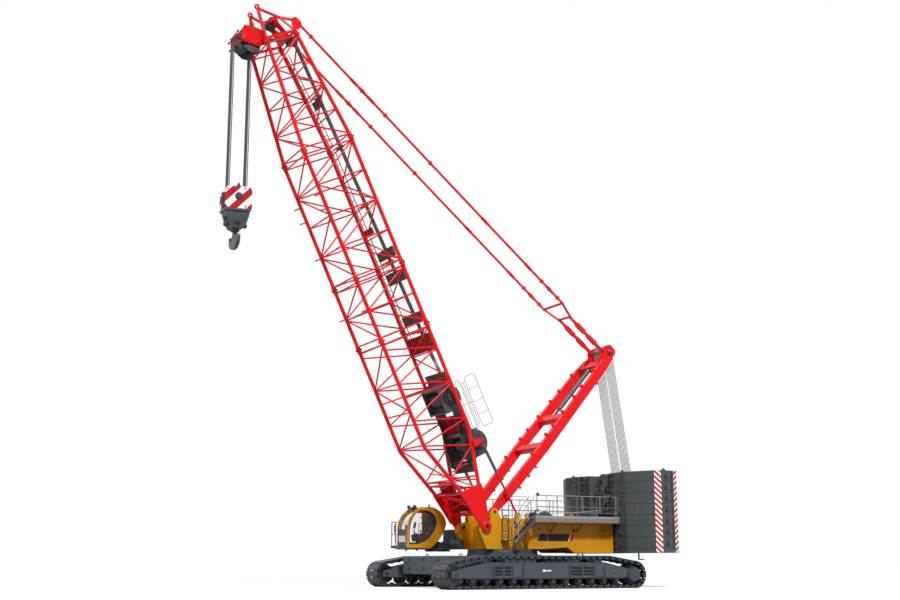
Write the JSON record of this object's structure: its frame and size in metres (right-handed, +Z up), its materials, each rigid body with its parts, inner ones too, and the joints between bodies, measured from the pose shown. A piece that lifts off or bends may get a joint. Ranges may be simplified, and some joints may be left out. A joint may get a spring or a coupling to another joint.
{
  "type": "crawler crane",
  "caption": "Lattice-boom crawler crane with a live mast, pendant bars, stacked rear counterweights, tilting cab and a double-horned hook block.",
  "frame": {"origin": "on the slewing axis at ground level", "axes": "+X forward towards the boom, +Y to the crane's left, +Z up along the slewing axis"},
  "size_m": [21.3294, 8.29, 25.6617],
  "materials": {
    "ballast_grey": "satin",
    "block_stripe": "satin",
    "body_amber": "gloss",
    "boom_red": "gloss",
    "cab_glazing": "gloss",
    "frame_dark": "satin",
    "galvanised": "satin",
    "machined_steel": "satin",
    "seat_fabric": "matte",
    "track_steel": "satin",
    "winch_dark": "satin"
  },
  "bodies": {
    "undercarriage": {"track_left": "track_steel", "track_right": "track_steel", "track_frames": "frame_dark", "track_rollers": "track_steel", "track_end_wheels": "track_steel", "final_drives": "frame_dark", "car_body": "frame_dark", "car_body_weights": "frame_dark", "slew_ring_lower": "frame_dark"},
    "superstructure": {"upper_frame": "body_amber", "slew_ring_upper": "frame_dark", "machine_house_left": "body_amber", "machine_house_right": "body_amber", "engine_block": "frame_dark", "catwalks": "frame_dark", "guard_rails": "galvanised", "access_steps": "frame_dark", "cab_support": "frame_dark", "foot_pins": "machined_steel", "counterweight_trays": "ballast_grey", "counterweight_slabs": "ballast_grey", "rear_carrier": "ballast_grey", "luffing_sheaves": "winch_dark"},
    "engine_door_rear": {"engine_door_rear": "body_amber"},
    "engine_door_front": {"engine_door_front": "body_amber"},
    "luffing_drum": {"luffing_winch": "winch_dark"},
    "cab": {"cab_side_left": "body_amber", "cab_side_right": "body_amber", "cab_shell": "body_amber", "cab_glass": "cab_glazing", "cab_front_panel": "frame_dark", "cab_floor": "frame_dark", "cab_seat": "seat_fabric", "cab_walkway": "frame_dark"},
    "cab_door": {"cab_door": "body_amber", "cab_door_glass": "cab_glazing"},
    "boom": {"boom_feet": "boom_red", "boom_base": "boom_red", "backstop_brackets": "boom_red", "hoist_winch_frame": "winch_dark", "boom_insert_short": "boom_red", "boom_insert_long": "boom_red", "boom_head_section": "boom_red", "boom_head": "boom_red"},
    "hoist_drum_upper": {"hoist_drum_upper": "winch_dark"},
    "hoist_drum_lower": {"hoist_drum_lower": "winch_dark"},
    "mast": {"mast_frame": "boom_red", "mast_head": "boom_red", "mast_sheaves": "winch_dark", "mast_cylinder": "winch_dark"},
    "pendants": {"pendant_lines": "boom_red", "pendant_yoke": "boom_red"},
    "backstop_barrel_left": {"backstop_barrel_left": "winch_dark"},
    "backstop_barrel_right": {"backstop_barrel_right": "winch_dark"},
    "backstop_rod_left": {"backstop_rod_left": "boom_red"},
    "backstop_rod_right": {"backstop_rod_right": "boom_red"},
    "head_sheaves": {"head_sheaves": "winch_dark"},
    "hook_block": {"hook_block": "block_stripe", "hook_sheaves": "winch_dark"},
    "hook": {"hook": "winch_dark"}
  },
  "joints": [
    {"name": "slew", "type": "hinge", "parent": "undercarriage", "child": "superstructure", "pos_m": [0, 0, 1.57], "axis": [0, 0, 1], "continuous": true},
    {"name": "boom_luff", "type": "hinge", "parent": "superstructure", "child": "boom", "pos_m": [1.54, 0, 2.68], "axis": [0, -1, 0], "range_deg": [-35, 19]},
    {"name": "mast_luff", "type": "hinge", "parent": "superstructure", "child": "mast", "pos_m": [1.06, 0, 3.34], "axis": [0, -1, 0], "range_deg": [-37.9, 20.7]},
    {"name": "pendant_pivot", "type": "hinge", "parent": "mast", "child": "pendants", "pos_m": [-5.3505, 0, 11.24945], "axis": [0, -1, 0], "range_deg": [-1.8, 3.1]},
    {"name": "luffing_drum_spin", "type": "hinge", "parent": "superstructure", "child": "luffing_drum", "pos_m": [-1.95, 0, 2.9], "axis": [0, 1, 0], "continuous": true},
    {"name": "hoist_drum_upper_spin", "type": "hinge", "parent": "boom", "child": "hoist_drum_upper", "pos_m": [3.05066, 0, 8.4283], "axis": [0, 1, 0], "continuous": true},
    {"name": "hoist_drum_lower_spin", "type": "hinge", "parent": "boom", "child": "hoist_drum_lower", "pos_m": [1.74376, 0, 6.4441], "axis": [0, 1, 0], "continuous": true},
    {"name": "head_sheave_pivot", "type": "hinge", "parent": "boom", "child": "head_sheaves", "pos_m": [13.11944, 0, 23.89688], "axis": [0, -1, 0], "range_deg": [-19.2, 35.2]},
    {"name": "hoist", "type": "slide", "parent": "head_sheaves", "child": "hook_block", "axis": [0, 0, 1], "range_m": [-14, 4]},
    {"name": "hook_swivel", "type": "hinge", "parent": "hook_block", "child": "hook", "pos_m": [13.11944, 0, 15.29], "axis": [0, 0, 1], "continuous": true},
    {"name": "cab_tilt", "type": "hinge", "parent": "superstructure", "child": "cab", "pos_m": [2.15, -2.325, 1.95], "axis": [0, -1, 0], "range_deg": [0, 20]},
    {"name": "cab_door_hinge", "type": "hinge", "parent": "cab", "child": "cab_door", "pos_m": [2.686, -2.918, 2.6], "axis": [0, 0, -1], "range_deg": [0, 95]},
    {"name": "engine_door_rear_hinge", "type": "hinge", "parent": "superstructure", "child": "engine_door_rear", "pos_m": [-3.455, -1.438, 2.43], "axis": [0, 0, 1], "range_deg": [0, 95]},
    {"name": "engine_door_front_hinge", "type": "hinge", "parent": "superstructure", "child": "engine_door_front", "pos_m": [-1.955, -1.438, 2.43], "axis": [0, 0, 1], "range_deg": [0, 95]},
    {"name": "backstop_pivot_left", "type": "hinge", "parent": "boom", "child": "backstop_barrel_left", "pos_m": [1.84981, 1.42, 6.48969], "axis": [0, -1, 0], "range_deg": [-2.5, 4.5]},
    {"name": "backstop_slide_left", "type": "slide", "parent": "backstop_barrel_left", "child": "backstop_rod_left", "axis": [-0.4901, 0, -0.8716], "range_m": [-0.51, 0.935]},
    {"name": "backstop_pivot_right", "type": "hinge", "parent": "boom", "child": "backstop_barrel_right", "pos_m": [1.84981, -1.42, 6.48969], "axis": [0, -1, 0], "range_deg": [-2.5, 4.5]},
    {"name": "backstop_slide_right", "type": "slide", "parent": "backstop_barrel_right", "child": "backstop_rod_right", "axis": [-0.4901, 0, -0.8716], "range_m": [-0.51, 0.935]}
  ],
  "couplings": [
    {"joint": "mast_luff", "follows": "boom_luff", "ratio": 1.0784},
    {"joint": "pendant_pivot", "follows": "boom_luff", "ratio": -0.0838},
    {"joint": "head_sheave_pivot", "follows": "boom_luff", "ratio": -1},
    {"joint": "backstop_pivot_left", "follows": "boom_luff", "ratio": -0.122},
    {"joint": "backstop_slide_left", "follows": "boom_luff", "m_per_rad": -1.5224},
    {"joint": "backstop_pivot_right", "follows": "boom_luff", "ratio": -0.122},
    {"joint": "backstop_slide_right", "follows": "boom_luff", "m_per_rad": -1.5224}
  ]
}
